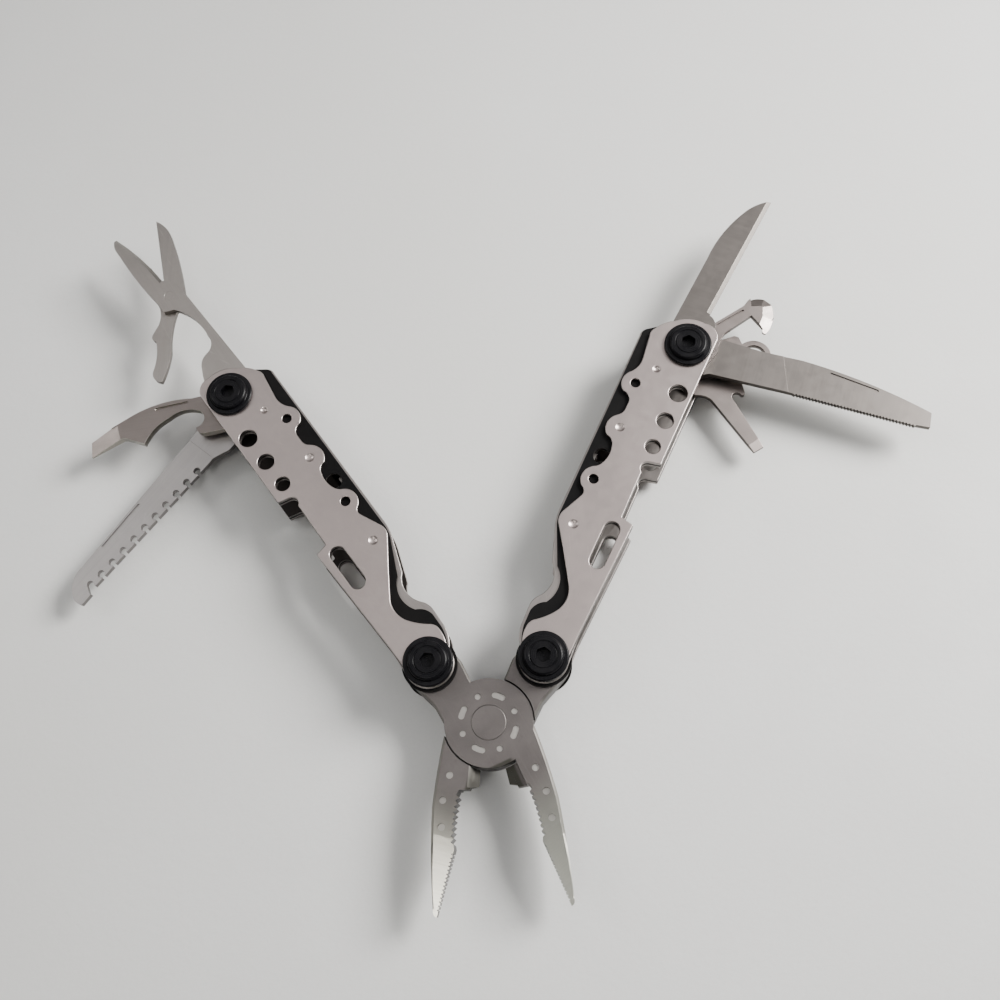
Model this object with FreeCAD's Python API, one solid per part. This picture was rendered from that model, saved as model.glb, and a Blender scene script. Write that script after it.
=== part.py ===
import FreeCAD, Part
import math
import os

# Folding multi tool, opened flat: pliers head between two handles, tools fanned out.
# All lengths are millimetres and all angles are degrees. Z = 0 is the surface that it lies on.

# ---- driving dimensions -------------------------------------------------------------------
HANDLE_PITCH = 82.0          # neck end of the handle's centre line to the tool bolt
NECK_BOLT = (0.52, 0.12)     # pliers bolt, from that neck end: along and across the handle
TANG_LENGTH = 17.95          # pliers pivot to pliers bolt
TANG_LEFT = 40.9             # direction of jaw A's tang from +Y, at rest
TANG_RIGHT = 46.4            # direction of jaw B's tang from +Y, at rest
JAW_ANGLE = 19.6             # jaw direction from -Y, at rest
LEFT_SPREAD = 32.1           # handle direction from +Y, at rest
RIGHT_SPREAD = 29.9
JAW_LENGTH = 40.5            # pivot to jaw tip

HEAD_FLANGE = 0.9            # bolt head: flange, then a domed cap on it
HEAD_DOME = 1.0
SCALE_T = 1.0
LINER_T = 0.6
FRAME_T = 0.8
CHANNEL = 7.6                # clear height between the frame plates

BOSS_R = 9.55
BOSS_GAP = 0.35              # radial gap round each boss
RIVET_R = 3.8
RIVET_SHANK_R = 2.6
RIVET_HEAD_T = 1.2
PLIERS_BOLT_R = 2.6
TOOL_BOLT_R = 2.2
HEAD_R = 5.5
DOME_R = 4.4
HEX_AF = 3.0
HEX_DEPTH = 1.4
HEX_TURN = 15.0              # from the handle's direction to a corner of the socket
SCALE_END_R = 4.9            # round pliers end of the plates, about the bolt
LINER_END_R = 5.1
FRAME_END_R = 5.5
WASHER_R = 6.1               # black washers between the frame and the tang
RUNNING = 0.05               # radial clearance of a moving piece on its shaft
LAYER_GAP = 0.06             # axial gap on each face of a piece in the stack
JAW_T = 6.0
TIP_HALF_T = 1.35            # half the jaw's thickness at its tip
GRIP_FACE = -0.15            # gripping face, from the line where the jaws meet
TEETH = 9                    # coarse teeth of the hollow behind the flat grip
TEETH_FROM = 15.4
TEETH_TO = 26.0
GROOVES = 15                 # fine cross grooves of the flat grip
GROOVE_PITCH = 0.8
TAPER_START = 25.0           # where the jaw starts to thin, from the pivot
PLATE_EDGE = -5.8            # channel edge of the plates, from the handle's centre line
NECK_EDGE = -4.8             # the same edge beside the pliers bolt
TANG_END_R = 5.7             # round end of a jaw's tang, about the pliers bolt
TANG_CHAMFER = 0.45
TANG_R = 5.6                 # round base of each tool
SPRING_ROOT = 42.4           # where the back spring starts, from the neck end
SPRING_ROOT_L = 6.2
SPRING_V = 8.7               # inner face of the back spring, from the handle's centre line
SPRING_W = 2.1
POST_R = 0.7                 # spacer posts between the frame plates
TOOL_POST = (82.6, 9.5)      # the post by the tool bolt

# Holes and dimples of the handle plates, as x, y and radius in the handle's own frame.
ROW_HOLES = ((69.6, -2.6, 2.15), (62.0, -2.5, 1.95), (54.9, -2.4, 1.75))
SCALE_HOLES = ((68.2, 7.4, 1.1), (42.3, 6.7, 1.1))
DIMPLES = ((73.4, 4.3, 0.6), (56.4, 6.2, 0.95), (30.6, 6.4, 0.95))
DIMPLE_DEPTH = 0.35
LINER_HOLE = (48.5, 7.4, 1.9)
FRAME_HOLE = (48.5, 7.4, 2.3)
NECK_SLOT = (24.9, 32.9, -1.8, 3.6)   # slot: x from, x to, y and width

# ---- levels along Z -----------------------------------------------------------------------
HEAD_H = HEAD_FLANGE + HEAD_DOME
SIDE_T = SCALE_T + LINER_T + FRAME_T
Z_PLATES = HEAD_H
Z_CHANNEL = Z_PLATES + SIDE_T
Z_MID = Z_CHANNEL + CHANNEL / 2
Z_CHANNEL_TOP = Z_CHANNEL + CHANNEL
Z_PLATES_TOP = Z_CHANNEL_TOP + SIDE_T
Z_TOP = Z_PLATES_TOP + HEAD_H

# Heights of the slots in each handle's tool stack, from the top down.
LEFT_STACK = {"scissors_arm": 1.35, "scissors_lever": 1.35, "cap_lifter": 2.0, "washer": 1.3, "wood_saw": 1.6}
RIGHT_STACK = {"knife": 1.52, "can_opener": 1.52, "file": 1.52, "lanyard_loop": 1.52, "screwdriver": 1.52}

# Tool directions at rest, from the handle's direction towards its open side.
REST = {
    "scissors_arm": -4.3,
    "cap_lifter": 70.0,
    "wood_saw": 108.0,
    "knife": 4.4,
    "can_opener": 30.5,
    "lanyard_loop": 63.1,
    "file": 83.3,
    "screwdriver": 120.4,
}
SCISSORS_PIVOT = 34.7        # tool bolt to scissors rivet

UP = FreeCAD.Vector(0, 0, 1)
ZERO = FreeCAD.Vector(0, 0, 0)


# ---- shape helpers ------------------------------------------------------------------------
def outline(start, *steps):
    """Closed flat wire. A step is an end point, or a pair: a point on the arc and its end point."""
    edges = []
    here = FreeCAD.Vector(start[0], start[1], 0)
    for step in steps + (start,):
        if isinstance(step[0], tuple):
            middle = FreeCAD.Vector(step[0][0], step[0][1], 0)
            end = FreeCAD.Vector(step[1][0], step[1][1], 0)
            edges.append(Part.Arc(here, middle, end).toShape())
        else:
            end = FreeCAD.Vector(step[0], step[1], 0)
            if end.distanceToPoint(here) < 1e-6:
                continue
            edges.append(Part.LineSegment(here, end).toShape())
        here = end
    return Part.Wire(edges)


def slab(wire, low, high):
    """Flat plate with the given outline between two levels."""
    solid = Part.Face(wire).extrude(FreeCAD.Vector(0, 0, high - low))
    solid.translate(FreeCAD.Vector(0, 0, low))
    return solid


def disc(x, y, radius, low, high):
    return Part.makeCylinder(radius, high - low, FreeCAD.Vector(x, y, low), UP)


def slot_cutter(x0, x1, y, width, low, high):
    """Round-ended slot along X."""
    bar = Part.makeBox(x1 - x0, width, high - low, FreeCAD.Vector(x0, y - width / 2, low))
    return bar.fuse([disc(x0, y, width / 2, low, high), disc(x1, y, width / 2, low, high)])


def groove(p0, p1, width, low, high):
    """Straight round-ended slot between two points, for nail nicks and ground lines."""
    length = math.dist(p0, p1)
    cutter = slot_cutter(0, length, 0, width, low, high)
    cutter.rotate(ZERO, UP, math.degrees(math.atan2(p1[1] - p0[1], p1[0] - p0[0])))
    cutter.translate(FreeCAD.Vector(p0[0], p0[1], 0))
    return cutter


def edge_bevel(p0, p1, width, face_z, edge_z):
    """Wedge that grinds a straight edge. The metal lies on the left of p0 to p1.

    The ground face runs from face_z, width inside the edge, to edge_z at the edge. It works on an
    upper face if face_z is above edge_z and on a lower face if it is below.
    """
    length = math.dist(p0, p1)
    over = 0.5
    slope = (face_z - edge_z) / width
    reach = face_z + slope * over
    drop = edge_z - slope * over
    corners = [(0, width + over, reach), (0, -over, drop), (0, -over, reach)]
    points = [FreeCAD.Vector(*c) for c in corners]
    wedge = Part.Face(Part.makePolygon(points + points[:1])).extrude(FreeCAD.Vector(length, 0, 0))
    wedge.rotate(ZERO, UP, math.degrees(math.atan2(p1[1] - p0[1], p1[0] - p0[0])))
    wedge.translate(FreeCAD.Vector(p0[0], p0[1], 0))
    return wedge


def hexagon(low, high):
    radius = HEX_AF / math.sqrt(3)
    corners = []
    for i in range(7):
        turn = math.radians(60 * i + HEX_TURN)
        corners.append(FreeCAD.Vector(radius * math.cos(turn), radius * math.sin(turn), low))
    return Part.Face(Part.makePolygon(corners)).extrude(FreeCAD.Vector(0, 0, high - low))


def turned(start, *steps):
    """Solid of revolution about Z. The profile is an outline of (radius, z) points and arcs."""
    face = Part.Face(outline(start, *steps))
    face.rotate(ZERO, FreeCAD.Vector(1, 0, 0), 90)
    return face.revolve(ZERO, UP, 360)


def polar(distance, angle):
    turn = math.radians(angle)
    return FreeCAD.Vector(distance * math.cos(turn), distance * math.sin(turn), 0)


def place(shape, origin, angle, flip):
    """Moves a shape from its own flat frame to the assembly. flip mirrors its +Y side first."""
    moved = shape.mirror(ZERO, FreeCAD.Vector(0, 1, 0)) if flip else shape.copy()
    moved.rotate(ZERO, UP, angle)
    moved.translate(origin)
    return moved


# ---- handle plates: X runs from the neck end to the tool bolt, +Y is the spine side ----------
def neck_end(radius):
    """Lowest, leftmost and highest points of the round pliers end of a plate."""
    x, y = NECK_BOLT
    return (x, y - radius), (x - radius, y), (x, y + radius)


# Open edge and tool end, which every plate shares: neck, notch, long edge, rounded end.
OPEN_SIDE = (
    (8.0, NECK_EDGE),
    (35.7, -5.7),
    (36.4, -2.7),
    (48.2, -2.5),
    ((49.9, -1.9), (51.1, -3.3)),
    (51.6, PLATE_EDGE),
    (86.2, PLATE_EDGE),
    ((88.4, -4.4), (89.1, -1.5)),
    ((88.9, 1.9), (86.9, 5.3)),
)


def scale_outline():
    """Outer plate: three round bumps on the spine side, then a long sweep into the waist."""
    low, left, high = neck_end(SCALE_END_R)
    return outline(
        low,
        *OPEN_SIDE,
        ((85.3, 7.4), (83.2, 8.8)),
        ((82.3, 9.25), (81.0, 9.2)),
        (75.0, 8.35),
        ((72.5, 8.5), (70.7, 9.45)),
        ((68.0, 10.6), (65.2, 9.1)),
        ((64.5, 7.6), (63.0, 7.0)),
        (61.2, 7.0),
        ((60.0, 7.3), (59.2, 8.0)),
        ((56.3, 9.5), (53.4, 8.2)),
        ((52.8, 6.9), (51.4, 6.2)),
        ((49.2, 5.9), (47.2, 6.3)),
        ((46.2, 6.8), (45.5, 7.5)),
        ((42.4, 9.6), (39.6, 8.4)),
        ((38.8, 7.6), (37.7, 7.6)),
        (32.9, 9.7),
        ((31.0, 10.1), (29.2, 9.4)),
        ((23.0, 5.35), (17.6, 1.95)),
        ((14.4, 0.85), (11.2, 1.6)),
        ((9.2, 3.1), (7.4, 5.0)),
        ((6.3, 6.0), (4.8, 6.3)),
        ((2.8, 6.1), high),
        (left, low),
    )


def liner_outline():
    """Liner: shows as a narrow dark border beside the scale."""
    low, left, high = neck_end(LINER_END_R)
    return outline(
        low,
        *OPEN_SIDE,
        (82.9, 10.5),
        ((82.2, 11.1), (81.0, 11.2)),
        (33.2, 10.5),
        ((31.0, 10.4), (28.6, 9.6)),
        (20.6, 5.9),
        ((15.2, 3.6), (12.0, 4.7)),
        ((10.6, 6.4), (8.8, 7.1)),
        (5.4, 7.0),
        ((2.9, 6.4), high),
        (left, low),
    )


def frame_outline():
    """Frame: a thin rim beyond the liner, wider at the waist."""
    low, left, high = neck_end(FRAME_END_R)
    return outline(
        low,
        *OPEN_SIDE,
        (83.1, 10.8),
        ((82.3, 11.5), (81.0, 11.6)),
        (33.2, 11.1),
        ((31.2, 10.9), (29.0, 10.3)),
        (21.0, 7.4),
        ((15.4, 5.6), (12.9, 6.8)),
        ((11.6, 7.6), (9.6, 7.9)),
        (5.2, 7.7),
        ((2.9, 7.1), high),
        (left, low),
    )


def plate_openings(low, high, pierced=True):
    """Slot and bolt holes that pass through every plate, and the row of three lightening holes."""
    cutters = [
        slot_cutter(*NECK_SLOT, low, high),
        disc(*NECK_BOLT, PLIERS_BOLT_R, low, high),
        disc(HANDLE_PITCH, 0, TOOL_BOLT_R, low, high),
    ]
    if pierced:
        for hole in ROW_HOLES:
            cutters.append(disc(*hole, low, high))
    return cutters


def make_scale(low, high, outer_z, inward, pierced=True):
    """outer_z is the face that shows. inward is +1 if the metal lies above that face."""
    cutters = plate_openings(low, high, pierced)
    for hole in SCALE_HOLES:
        cutters.append(disc(*hole, low, high))
    for x, y, radius in DIMPLES:
        ball_z = outer_z + inward * (DIMPLE_DEPTH - 2 * radius)
        cutters.append(Part.makeSphere(2 * radius, FreeCAD.Vector(x, y, ball_z)))
    return slab(scale_outline(), low, high).cut(cutters).removeSplitter()


def make_liner(low, high, pierced=True):
    """The hole beside the scale's edge goes through liner and frame, wider in the frame."""
    cutters = plate_openings(low, high, pierced) + [disc(*LINER_HOLE, low, high)]
    return slab(liner_outline(), low, high).cut(cutters)


def make_frame(low, high, pierced=True):
    cutters = plate_openings(low, high, pierced) + [disc(*FRAME_HOLE, low, high)]
    return slab(frame_outline(), low, high).cut(cutters)


def make_posts():
    """Two posts between the frame plates: one through the spring's root, one by the tool bolt."""
    return [
        disc(SPRING_ROOT + SPRING_ROOT_L / 2, SPRING_V + SPRING_W / 2, POST_R, Z_CHANNEL, Z_CHANNEL_TOP),
        disc(*TOOL_POST, POST_R, Z_CHANNEL, Z_CHANNEL_TOP),
    ]


def spring_finger(low, high):
    """One leaf of the back spring, with a bent tip over the tools' round bases."""
    return slab(
        outline(
            (SPRING_ROOT, SPRING_V),
            (49.0, SPRING_V),
            ((49.6, 9.5), (50.6, 9.8)),
            (77.2, 9.8),
            ((78.8, 9.3), (79.4, 8.0)),
            ((80.0, 7.35), (81.0, 7.3)),
            (84.2, 7.3),
            (84.2, 8.3),
            (81.2, 8.4),
            ((80.4, 9.9), (78.6, SPRING_V + SPRING_W)),
            (43.4, SPRING_V + SPRING_W),
            ((42.7, 10.5), (SPRING_ROOT, 9.8)),
        ),
        low,
        high,
    )


def make_spring(stack, open_slots):
    """Back spring: a full-height root with one leaf for each tool slot that is not left open."""
    corner = FreeCAD.Vector(SPRING_ROOT, SPRING_V, Z_CHANNEL)
    root = Part.makeBox(SPRING_ROOT_L, SPRING_W, CHANNEL, corner)
    leaves = []
    for name, (low, high) in stack_levels(stack).items():
        if name not in open_slots:
            leaves.append(spring_finger(low + 0.05, high - 0.05))
    return root.fuse(leaves).cut(make_posts()).removeSplitter()


def stack_levels(stack):
    """Lower and upper level of each slot, from the top of the channel down."""
    levels = {}
    top = Z_CHANNEL_TOP
    for name, height in stack.items():
        levels[name] = (top - height, top)
        top -= height
    return levels


def piece_levels(stack, name):
    low, high = stack_levels(stack)[name]
    return low + LAYER_GAP, high - LAYER_GAP


# ---- bolts ----------------------------------------------------------------------------------
def cap_profile(base, face):
    """(radius, z) outline of a bolt cap from the flange's rim to its axis, with a ring groove.

    base is where the flange lies on the scale and face is the top of the dome. Both point the
    same way, so the cap works right way up and upside down.
    """
    up = 1 if face > base else -1
    flange = base + up * HEAD_FLANGE
    return (
        (HEAD_R, base),
        (HEAD_R, flange - up * 0.35),
        ((HEAD_R - 0.1, flange - up * 0.1), (HEAD_R - 0.35, flange)),
        (DOME_R + 0.15, flange),
        (DOME_R, flange + up * 0.15),
        (DOME_R - 0.05, face - up * 0.55),
        ((DOME_R - 0.2, face - up * 0.2), (DOME_R - 0.6, face)),
        (3.15, face),
        ((2.97, face - up * 0.18), (2.8, face)),
        (0, face),
    )


def make_bolt(shank_r):
    """Domed bolt from above: flanged head with a ring groove and a hexagon socket, full shank."""
    chamfer = 0.3
    end = Z_PLATES + 0.2
    body = turned(
        (0, end),
        (shank_r - chamfer, end),
        (shank_r, end + chamfer),
        (shank_r, Z_PLATES_TOP),
        *cap_profile(Z_PLATES_TOP, Z_TOP),
    )
    return body.cut(hexagon(Z_TOP - HEX_DEPTH, Z_TOP + 1))


def make_nut(shank_r):
    """Domed barrel nut from below, round the end of the bolt's shank."""
    chamfer = 0.3
    end = Z_PLATES + 0.2
    body = turned(
        (0, end),
        (shank_r - chamfer, end),
        (shank_r, Z_PLATES),
        *cap_profile(Z_PLATES, 0),
    )
    return body.cut(hexagon(-1, HEX_DEPTH))


def make_thrust_washers():
    """Black washers above and below the tang on the pliers bolt."""
    gap = (CHANNEL - JAW_T) / 2
    washers = []
    for low in (Z_CHANNEL, Z_CHANNEL_TOP - gap + LAYER_GAP):
        ring = disc(0, 0, WASHER_R, low, low + gap - LAYER_GAP)
        washers.append(ring.cut(disc(0, 0, PLIERS_BOLT_R, low, low + gap)))
    return washers


# ---- pliers head: jaw B is built in its own frame, jaw A is the same piece turned over --------
def jaw_plan():
    """Jaw from the pivot along +X. +Y is the gripping side, which meets the other jaw at Y = 0."""
    teeth = []
    pitch = (TEETH_TO - TEETH_FROM) / TEETH
    for i in range(TEETH):
        x = TEETH_TO - i * pitch
        depth = 0.25 + 1.5 * math.sin(math.radians(90 * (i + 0.5) / TEETH))
        teeth.append((x, GRIP_FACE - depth))
        teeth.append((x - 0.25 * pitch, GRIP_FACE - depth - 0.7))
    return outline(
        (0, -8.9),
        (4.0, -8.6),
        ((12.0, -8.0), (20.0, -6.95)),
        ((30.0, -4.3), (39.5, -1.25)),
        ((40.3, -0.8), (JAW_LENGTH, GRIP_FACE)),
        (TEETH_TO + 0.8, GRIP_FACE),
        *teeth,
        (TEETH_FROM - 0.3, -2.4),
        (TEETH_FROM - 0.9, GRIP_FACE),
        (0, GRIP_FACE),
    )


def jaw_side_profile():
    """Side view of the jaw, thinning towards the tip."""
    half = JAW_T / 2
    return [
        (-1, -half),
        (TAPER_START, -half),
        (JAW_LENGTH + 1, -TIP_HALF_T),
        (JAW_LENGTH + 1, TIP_HALF_T),
        (TAPER_START, half),
        (-1, half),
    ]


def outer_edges(blade):
    """Edges between the jaw's faces and its curved outer side, beyond the boss."""
    chosen = []
    for edge in blade.Edges:
        box = edge.BoundBox
        runs_along = box.XLength > 4 and box.XMax > 15
        on_outer_side = box.YMax < -1.0 and box.YLength > 0.5
        if runs_along and on_outer_side:
            chosen.append(edge)
    return chosen


def make_jaw_blade():
    """The gripping jaw with its taper, outer bevel, wire cutter and dimples."""
    half = JAW_T / 2
    blade = slab(jaw_plan(), -half, half)
    points = [FreeCAD.Vector(x, -12, z) for x, z in jaw_side_profile()]
    side = Part.Face(Part.makePolygon(points + points[:1])).extrude(FreeCAD.Vector(0, 24, 0))
    blade = blade.common(side)
    blade = blade.makeChamfer(0.55, outer_edges(blade))
    blade = blade.fuse(slab(outline((9.0, -1.0), (9.9, 0.7), (13.3, 1.3), (14.4, -1.0)), LAYER_GAP, half))
    cutters = [slab(outline((8.0, -2.0), (15.0, -2.0), (15.0, 2.0), (8.0, 2.0)), -half - 1, 0)]
    cutters.append(edge_bevel((13.8, 1.4), (8.8, 0.5), 2.3, half, LAYER_GAP + 0.15))
    for x, y, depth in ((12.7, -5.1, 0.3), (18.0, -5.1, 0.6), (23.3, -3.9, 0.6)):
        cutters.append(disc(x, y, 0.75, half - depth, half + 1))
        cutters.append(disc(x, y, 0.75, -half - 1, -half + depth))
    for i in range(GROOVES):
        x = TEETH_TO + 1.9 + i * GROOVE_PITCH
        cutters.append(groove((x, GRIP_FACE - 0.16), (x, 1), 0.3, -half, half))
    return blade.cut(cutters)


def rim_edges(tang):
    """Edges round the tang's two flat faces, except the end that the boss covers."""
    return [edge for edge in tang.Edges if edge.BoundBox.ZLength < 0.1 and edge.BoundBox.XMax > 5.0]


def make_jaw(tang_turn):
    """Jaw about the pivot at the origin, Z = 0 at its middle: left jaw, right tang, lower boss."""
    half = JAW_T / 2
    blade = place(make_jaw_blade(), ZERO, -90 - JAW_ANGLE, False)
    tang_angle = 90 - tang_turn
    end = TANG_END_R
    tang = slab(
        outline(
            (0, 3.0),
            (0, -9.0),
            (4.5, -7.5),
            (11.0, -5.7),
            (TANG_LENGTH, -end),
            (TANG_LENGTH, end),
            (13.6, 5.3),
            (9.0, 3.7),
        ),
        -half,
        half,
    )
    tang = tang.fuse(disc(TANG_LENGTH, 0, end, -half, half)).removeSplitter()
    tang = tang.makeChamfer(TANG_CHAMFER, rim_edges(tang))
    tang = place(tang, ZERO, tang_angle, False)
    boss = disc(0, 0, BOSS_R, -half, half)
    body = boss.fuse([blade, tang])
    lap = 0.05
    body = body.cut(disc(0, 0, BOSS_R + BOSS_GAP, -lap, half + 1))
    bolt = polar(TANG_LENGTH, tang_angle)
    body = body.cut(disc(bolt.x, bolt.y, PLIERS_BOLT_R + RUNNING, -half, half))
    return body.cut(boss_marks(-half)).removeSplitter()


def boss_marks(face):
    """Ring of four dots and four short curved slots pressed into the boss's outer face."""
    ring_r = 6.0
    width = 1.3
    depth = 0.25
    half_sweep = 8.0
    first_dot = 71.5
    first_slot = 25.5
    marks = []
    for i in range(4):
        dot = polar(ring_r, first_dot + 90 * i)
        marks.append(disc(dot.x, dot.y, width / 2, face - 1, face + depth))
        inner = disc(0, 0, ring_r - width / 2, face - 2, face + 1)
        curved = disc(0, 0, ring_r + width / 2, face - 1, face + depth).cut(inner)
        sector = Part.makeCylinder(12, 3, FreeCAD.Vector(0, 0, face - 1), UP, 2 * half_sweep)
        sector.rotate(ZERO, UP, first_slot - half_sweep + 90 * i)
        ends = []
        for turn in (-half_sweep, half_sweep):
            end = polar(ring_r, first_slot + turn + 90 * i)
            ends.append(disc(end.x, end.y, width / 2, face - 1, face + depth))
        marks.append(curved.common(sector).fuse(ends))
    return marks


def make_pivot_rivet():
    """Rivet with two broad flush heads, fixed in jaw A and turning in jaw B."""
    half = JAW_T / 2
    head = RIVET_HEAD_T
    return turned(
        (0, -half),
        (RIVET_R, -half),
        (RIVET_R, -half + head),
        (RIVET_SHANK_R, -half + head),
        (RIVET_SHANK_R, half - head),
        (RIVET_R, half - head),
        (RIVET_R, half),
        (0, half),
    )


def rivet_bore(play):
    half = JAW_T / 2
    seat = RIVET_HEAD_T + play
    return turned(
        (0, -half - 1),
        (RIVET_R + play, -half - 1),
        (RIVET_R + play, -half + seat),
        (RIVET_SHANK_R + play, -half + seat),
        (RIVET_SHANK_R + play, half - seat),
        (RIVET_R + play, half - seat),
        (RIVET_R + play, half + 1),
        (0, half + 1),
    )


# ---- tools: X runs out from the tool bolt, +Y is the side that enters the handle first --------
def tool_base(low, high):
    return disc(0, 0, TANG_R, low, high)


def tool_bore(low, high):
    return disc(0, 0, TOOL_BOLT_R + RUNNING, low - 1, high + 1)


def make_knife(low, high):
    """Sheepsfoot blade: straight cutting edge, back curving down to the point."""
    plan = outline(
        (0, -TANG_R),
        (5.0, -6.3),
        (25.0, -6.8),
        ((33.6, -6.5), (40.4, -4.7)),
        ((44.0, -2.9), (46.9, 0.0)),
        (11.0, 0.6),
        ((9.8, 2.6), (7.6, 3.4)),
        (0, TANG_R),
    )
    blade = slab(plan, low, high).fuse(tool_base(low, high))
    middle = (low + high) / 2
    bevel = 0.9
    cutters = [tool_bore(low, high)]
    cutters.append(edge_bevel((47.4, -0.02), (11.4, 0.6), bevel, high, middle + 0.05))
    cutters.append(edge_bevel((47.4, -0.02), (11.4, 0.6), bevel, low, middle - 0.05))
    return blade.cut(cutters)


def make_can_opener(low, high):
    """Claw on a short arm, ground along its outer curve."""
    plan = outline(
        (0, -TANG_R),
        (6.0, -4.6),
        (10.3, -2.5),
        (19.0, -2.1),
        (20.4, -2.6),
        ((22.9, -2.3), (24.4, -0.8)),
        (24.9, 1.1),
        ((23.2, 4.0), (18.9, 6.6)),
        ((18.6, 6.5), (18.9, 5.4)),
        (18.8, 1.0),
        (11.0, 1.0),
        ((8.6, 2.0), (6.4, 4.0)),
        (0, TANG_R),
    )
    body = slab(plan, low, high).fuse(tool_base(low, high))
    cutters = [tool_bore(low, high)]
    rim = [(18.6, 7.0), (22.4, 4.6), (24.9, 1.5), (24.4, -1.0), (21.6, -2.9)]
    for p0, p1 in zip(rim[1:], rim):
        cutters.append(edge_bevel(p0, p1, 2.4, high, low + 0.3))
    cutters.append(groove((10.8, -1.7), (18.0, -1.2), 0.45, high - 0.4, high + 1))
    return body.cut(cutters)


def make_file(low, high):
    """Long flat file with a serrated edge, a ground face and a flat driver tip."""
    serrations = []
    pitch = 0.75
    for i in range(38):
        x = 55.0 - i * pitch
        serrations.append((x, 2.1))
        serrations.append((x - pitch / 2, 2.45))
    plan = outline(
        (0, -6.0),
        (6.8, -6.9),
        (17.0, -6.4),
        (26.6, -6.8),
        ((42.8, -5.2), (57.7, -1.9)),
        (58.1, 1.8),
        *serrations,
        (26.2, 2.2),
        (6.6, 2.8),
        (2.4, 5.0),
        (0, TANG_R),
    )
    body = slab(plan, low, high).fuse(tool_base(low, high))
    cutters = [
        tool_bore(low, high),
        groove((33.8, -5.2), (44.8, -3.9), 0.7, high - 0.35, high + 1),
        slab(outline((21.6, -8.0), (70, -8.0), (70, 5), (26.3, 5)), high - 0.1, high + 1),
    ]
    return body.cut(cutters)


def make_lanyard_loop(low, high):
    """Flat plate with a round eye for a cord or a key ring."""
    eye_x, eye_r, hole_r = 16.4, 4.1, 2.8
    plan = outline(
        (0, -TANG_R),
        (8.5, -4.6),
        (12.4, -5.7),
        (13.4, -5.2),
        (14.0, -3.3),
        (14.0, 3.3),
        (8.5, 4.2),
        (0, TANG_R),
    )
    body = slab(plan, low, high).fuse([tool_base(low, high), disc(eye_x, 0, eye_r, low, high)])
    return body.cut([tool_bore(low, high), disc(eye_x, 0, hole_r, low, high)])


def make_screwdriver(low, high):
    """Flat screwdriver with a wire notch under its shoulder."""
    plan = outline(
        (0, -TANG_R),
        (6.2, -5.4),
        (12.6, -7.6),
        (14.9, -6.6),
        ((15.1, -6.0), (14.6, -5.6)),
        ((13.4, -4.6), (14.7, -3.3)),
        (28.3, -1.4),
        (28.1, 1.3),
        (11.7, 0.9),
        ((9.9, 1.6), (8.5, 3.2)),
        (4.4, 4.4),
        (0, TANG_R),
    )
    body = slab(plan, low, high).fuse(tool_base(low, high))
    middle = (low + high) / 2
    cutters = [
        tool_bore(low, high),
        edge_bevel((28.2, -2.5), (28.2, 2.5), 2.2, high, middle + 0.3),
        edge_bevel((28.2, -2.5), (28.2, 2.5), 2.2, low, middle - 0.3),
    ]
    return body.cut(cutters)


def make_cap_lifter(low, high):
    """Cap lifter whose end is a ground flat screwdriver tip, with a hooked heel."""
    plan = outline(
        (0, -TANG_R),
        (7.7, -4.9),
        (10.2, -5.1),
        ((19.5, -6.1), (26.0, -4.9)),
        (36.3, -1.8),
        (36.9, 2.1),
        (28.4, 0.1),
        (27.7, 0.3),
        (23.5, 3.2),
        ((19.8, -0.3), (16.6, -1.6)),
        ((11.8, -2.4), (8.9, -1.2)),
        ((8.2, 1.0), (10.6, 2.9)),
        ((10.3, 4.3), (9.3, 5.0)),
        (5.4, 5.4),
        (0, TANG_R),
    )
    body = slab(plan, low, high).fuse(tool_base(low, high))
    tip = 7.6
    cutters = [
        tool_bore(low, high),
        edge_bevel((36.6, -3.5), (36.6, 3.5), tip, high, low + 0.6),
        groove((11.6, -4.3), (19.0, -4.9), 0.8, high - 0.5, high + 1),
    ]
    return body.cut(cutters)


def make_saw(low, high):
    """Wood saw: ten round gullets with narrow mouths between the teeth, and a longer one at the tip."""
    plan = outline(
        (0, -TANG_R),
        (11.8, -5.3),
        (52.4, -5.5),
        ((56.4, -4.7), (58.7, -2.6)),
        ((59.4, -0.8), (59.1, 0.8)),
        (55.4, 0.9),
        (54.8, 0.3),
        (15.0, 2.7),
        (13.6, 2.7),
        (9.7, 4.6),
        (0, TANG_R),
    )
    body = slab(plan, low, high).fuse(tool_base(low, high))
    cutters = [
        tool_bore(low, high),
        groove((33.0, -4.6), (45.6, -4.7), 0.6, high - 0.4, high + 1),
        slab(outline((13.1, -7.0), (70, -7.0), (70, 6), (13.6, 6)), high - 0.1, high + 1),
    ]
    count = 10
    gullet_r = 0.85
    for i in range(count):
        share = i / (count - 1)
        x = 18.3 + 32.6 * share
        root = 1.5 - 2.0 * share
        cutters.append(disc(x, root, gullet_r, low, high))
        mouth = outline((x - 0.3, root), (x + 0.3, root), (x + 0.9, root + 1.6), (x - 0.1, root + 1.6))
        cutters.append(slab(mouth, low, high))
    cutters.append(disc(54.3, -0.9, gullet_r, low, high))
    last_mouth = outline((53.6, -0.7), (55.0, -1.3), (56.0, 0.2), (56.0, 2.0), (54.4, 2.0))
    cutters.append(slab(last_mouth, low, high))
    return body.cut(cutters)


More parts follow.
